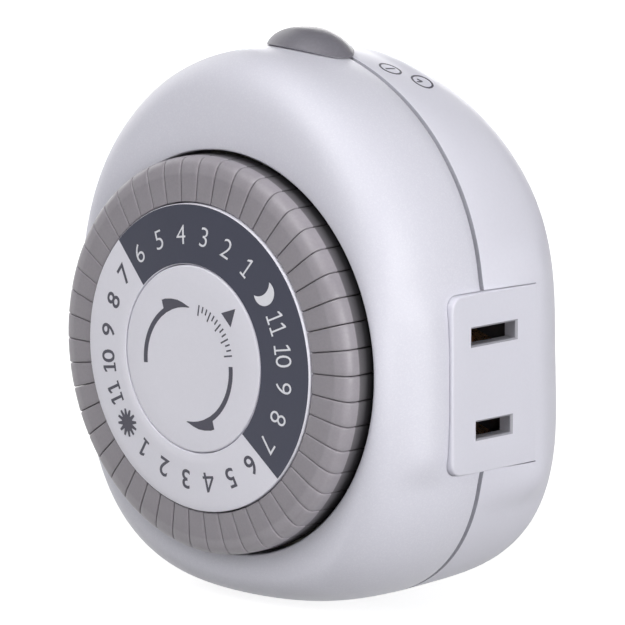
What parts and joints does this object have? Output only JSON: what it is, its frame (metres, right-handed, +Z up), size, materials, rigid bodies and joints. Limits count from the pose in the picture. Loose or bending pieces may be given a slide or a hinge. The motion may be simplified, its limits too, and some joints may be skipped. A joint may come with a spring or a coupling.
{
  "type": "plug in timer switch",
  "caption": "Plug-in timer switch: a round-topped case with a turning dial of push-in segments round a number ring, a slide button on top, a receptacle in the side and plug blades at the back.",
  "frame": {"origin": "the dial axis where it meets the plane of the wall that the timer is plugged into", "axes": "+Z up, -Y from the wall out through the dial, +X to the side with the receptacle; the dial turns about the Y axis"},
  "size_m": [0.0653, 0.0573, 0.0775],
  "materials": {
    "case_front": "pearl satin",
    "case_rear": "satin",
    "outlet": "satin",
    "button": "satin",
    "segments": "satin",
    "number_ring": "dark and light halves with printed numbers",
    "cap": "satin",
    "acetal": "natural",
    "motor_steel": "plated",
    "copper": "enamelled wire",
    "ferrite": "sintered",
    "spring_steel": "bright",
    "contact_metal": "bright",
    "blade_metal": "bright",
    "lead_insulation": "matt",
    "screw_steel": "zinc plated",
    "label": "foil label"
  },
  "bodies": {
    "case": {"front_housing": "case_front", "rear_housing": "case_rear", "outlet_plate": "outlet", "slide_detent": "spring_steel", "centre_cap": "cap", "mechanism_plate": "acetal", "motor_can": "motor_steel", "motor_coil": "copper", "gear_arbors": "spring_steel", "lever_pin": "spring_steel", "lever_spring": "spring_steel", "fixed_contact": "contact_metal", "blade_neutral": "blade_metal", "blade_live": "blade_metal", "socket_contact_neutral": "contact_metal", "socket_contact_live": "contact_metal", "motor_leads": "lead_insulation", "motor_screws": "screw_steel", "housing_screws": "screw_steel", "rating_label": "label"},
    "dial": {"dial_ring": "number_ring", "dial_carrier": "acetal"},
    "tripper_00": {"tripper_00": "segments"},
    "tripper_01": {"tripper_01": "segments"},
    "tripper_02": {"tripper_02": "segments"},
    "tripper_03": {"tripper_03": "segments"},
    "tripper_04": {"tripper_04": "segments"},
    "tripper_05": {"tripper_05": "segments"},
    "tripper_06": {"tripper_06": "segments"},
    "tripper_07": {"tripper_07": "segments"},
    "tripper_08": {"tripper_08": "segments"},
    "tripper_09": {"tripper_09": "segments"},
    "tripper_10": {"tripper_10": "segments"},
    "tripper_11": {"tripper_11": "segments"},
    "tripper_12": {"tripper_12": "segments"},
    "tripper_13": {"tripper_13": "segments"},
    "tripper_14": {"tripper_14": "segments"},
    "tripper_15": {"tripper_15": "segments"},
    "tripper_16": {"tripper_16": "segments"},
    "tripper_17": {"tripper_17": "segments"},
    "tripper_18": {"tripper_18": "segments"},
    "tripper_19": {"tripper_19": "segments"},
    "tripper_20": {"tripper_20": "segments"},
    "tripper_21": {"tripper_21": "segments"},
    "tripper_22": {"tripper_22": "segments"},
    "tripper_23": {"tripper_23": "segments"},
    "dial_drive": {"dial_pinion": "acetal", "clutch_washer": "contact_metal"},
    "rotor": {"motor_rotor": "ferrite"},
    "reducer_1": {"gear_1": "acetal"},
    "reducer_2": {"gear_2": "acetal"},
    "reducer_3": {"gear_3": "acetal"},
    "reducer_4": {"gear_4": "acetal"},
    "reducer_5": {"gear_5": "acetal"},
    "clutch_wheel": {"clutch_gear": "acetal"},
    "lever": {"switch_lever": "acetal"},
    "leaf": {"contact_leaf": "contact_metal"},
    "slide": {"slide_button": "button", "slide_carriage": "acetal"}
  },
  "joints": [
    {"name": "dial_spin", "type": "hinge", "parent": "case", "child": "dial", "pos_m": [0, 0, 0], "axis": [0, -1, 0], "continuous": true},
    {"name": "tripper_00_push", "type": "slide", "parent": "dial", "child": "tripper_00", "axis": [0, 1, 0], "range_m": [0, 0.0022]},
    {"name": "tripper_01_push", "type": "slide", "parent": "dial", "child": "tripper_01", "axis": [0, 1, 0], "range_m": [0, 0.0022]},
    {"name": "tripper_02_push", "type": "slide", "parent": "dial", "child": "tripper_02", "axis": [0, 1, 0], "range_m": [0, 0.0022]},
    {"name": "tripper_03_push", "type": "slide", "parent": "dial", "child": "tripper_03", "axis": [0, 1, 0], "range_m": [0, 0.0022]},
    {"name": "tripper_04_push", "type": "slide", "parent": "dial", "child": "tripper_04", "axis": [0, 1, 0], "range_m": [0, 0.0022]},
    {"name": "tripper_05_push", "type": "slide", "parent": "dial", "child": "tripper_05", "axis": [0, 1, 0], "range_m": [0, 0.0022]},
    {"name": "tripper_06_push", "type": "slide", "parent": "dial", "child": "tripper_06", "axis": [0, 1, 0], "range_m": [0, 0.0022]},
    {"name": "tripper_07_push", "type": "slide", "parent": "dial", "child": "tripper_07", "axis": [0, 1, 0], "range_m": [0, 0.0022]},
    {"name": "tripper_08_push", "type": "slide", "parent": "dial", "child": "tripper_08", "axis": [0, 1, 0], "range_m": [0, 0.0022]},
    {"name": "tripper_09_push", "type": "slide", "parent": "dial", "child": "tripper_09", "axis": [0, 1, 0], "range_m": [0, 0.0022]},
    {"name": "tripper_10_push", "type": "slide", "parent": "dial", "child": "tripper_10", "axis": [0, 1, 0], "range_m": [0, 0.0022]},
    {"name": "tripper_11_push", "type": "slide", "parent": "dial", "child": "tripper_11", "axis": [0, 1, 0], "range_m": [0, 0.0022]},
    {"name": "tripper_12_push", "type": "slide", "parent": "dial", "child": "tripper_12", "axis": [0, 1, 0], "range_m": [0, 0.0022]},
    {"name": "tripper_13_push", "type": "slide", "parent": "dial", "child": "tripper_13", "axis": [0, 1, 0], "range_m": [0, 0.0022]},
    {"name": "tripper_14_push", "type": "slide", "parent": "dial", "child": "tripper_14", "axis": [0, 1, 0], "range_m": [0, 0.0022]},
    {"name": "tripper_15_push", "type": "slide", "parent": "dial", "child": "tripper_15", "axis": [0, 1, 0], "range_m": [0, 0.0022]},
    {"name": "tripper_16_push", "type": "slide", "parent": "dial", "child": "tripper_16", "axis": [0, 1, 0], "range_m": [0, 0.0022]},
    {"name": "tripper_17_push", "type": "slide", "parent": "dial", "child": "tripper_17", "axis": [0, 1, 0], "range_m": [0, 0.0022]},
    {"name": "tripper_18_push", "type": "slide", "parent": "dial", "child": "tripper_18", "axis": [0, 1, 0], "range_m": [0, 0.0022]},
    {"name": "tripper_19_push", "type": "slide", "parent": "dial", "child": "tripper_19", "axis": [0, 1, 0], "range_m": [0, 0.0022]},
    {"name": "tripper_20_push", "type": "slide", "parent": "dial", "child": "tripper_20", "axis": [0, 1, 0], "range_m": [0, 0.0022]},
    {"name": "tripper_21_push", "type": "slide", "parent": "dial", "child": "tripper_21", "axis": [0, 1, 0], "range_m": [0, 0.0022]},
    {"name": "tripper_22_push", "type": "slide", "parent": "dial", "child": "tripper_22", "axis": [0, 1, 0], "range_m": [0, 0.0022]},
    {"name": "tripper_23_push", "type": "slide", "parent": "dial", "child": "tripper_23", "axis": [0, 1, 0], "range_m": [0, 0.0022]},
    {"name": "dial_drive_spin", "type": "hinge", "parent": "case", "child": "dial_drive", "pos_m": [-0.00157, -0.025, 0.01793], "axis": [0, -1, 0], "continuous": true},
    {"name": "rotor_spin", "type": "hinge", "parent": "case", "child": "rotor", "pos_m": [-0.00157, -0.006, 0.01793], "axis": [0, -1, 0], "continuous": true},
    {"name": "reducer_1_spin", "type": "hinge", "parent": "case", "child": "reducer_1", "pos_m": [-0.01066, -0.015, 0.01268], "axis": [0, -1, 0], "continuous": true},
    {"name": "reducer_2_spin", "type": "hinge", "parent": "case", "child": "reducer_2", "pos_m": [-0.00157, -0.015, 0.01793], "axis": [0, -1, 0], "continuous": true},
    {"name": "reducer_3_spin", "type": "hinge", "parent": "case", "child": "reducer_3", "pos_m": [-0.01066, -0.015, 0.01268], "axis": [0, -1, 0], "continuous": true},
    {"name": "reducer_4_spin", "type": "hinge", "parent": "case", "child": "reducer_4", "pos_m": [-0.00157, -0.015, 0.01793], "axis": [0, -1, 0], "continuous": true},
    {"name": "reducer_5_spin", "type": "hinge", "parent": "case", "child": "reducer_5", "pos_m": [-0.01066, -0.015, 0.01268], "axis": [0, -1, 0], "continuous": true},
    {"name": "clutch_wheel_spin", "type": "hinge", "parent": "case", "child": "clutch_wheel", "pos_m": [-0.00157, -0.015, 0.01793], "axis": [0, -1, 0], "continuous": true},
    {"name": "lever_swing", "type": "hinge", "parent": "case", "child": "lever", "pos_m": [0.0095, -0.0216, -0.008], "axis": [-1, 0, 0], "range_deg": [0, 3.8], "stiffness_Nm_per_rad": 0.02, "springref_deg": -2.86},
    {"name": "leaf_bend", "type": "hinge", "parent": "case", "child": "leaf", "pos_m": [0.0085, -0.01378, -0.009], "axis": [-1, 0, 0], "range_deg": [0, 5]},
    {"name": "slide_shift", "type": "hinge", "parent": "case", "child": "slide", "pos_m": [0, -0.0178, 0.01393], "axis": [0, -1, 0], "range_deg": [0, 8.49]}
  ],
  "couplings": [
    {"joint": "dial_drive_spin", "follows": "dial_spin", "ratio": -8},
    {"joint": "reducer_1_spin", "follows": "rotor_spin", "ratio": -0.2},
    {"joint": "reducer_2_spin", "follows": "rotor_spin", "ratio": 0.033333},
    {"joint": "reducer_3_spin", "follows": "rotor_spin", "ratio": -0.0066667},
    {"joint": "reducer_4_spin", "follows": "rotor_spin", "ratio": 0.0011111},
    {"joint": "reducer_5_spin", "follows": "rotor_spin", "ratio": -0.00022222},
    {"joint": "clutch_wheel_spin", "follows": "rotor_spin", "ratio": 0.000037037},
    {"joint": "leaf_bend", "follows": "lever_swing", "ratio": 0.92308}
  ]
}
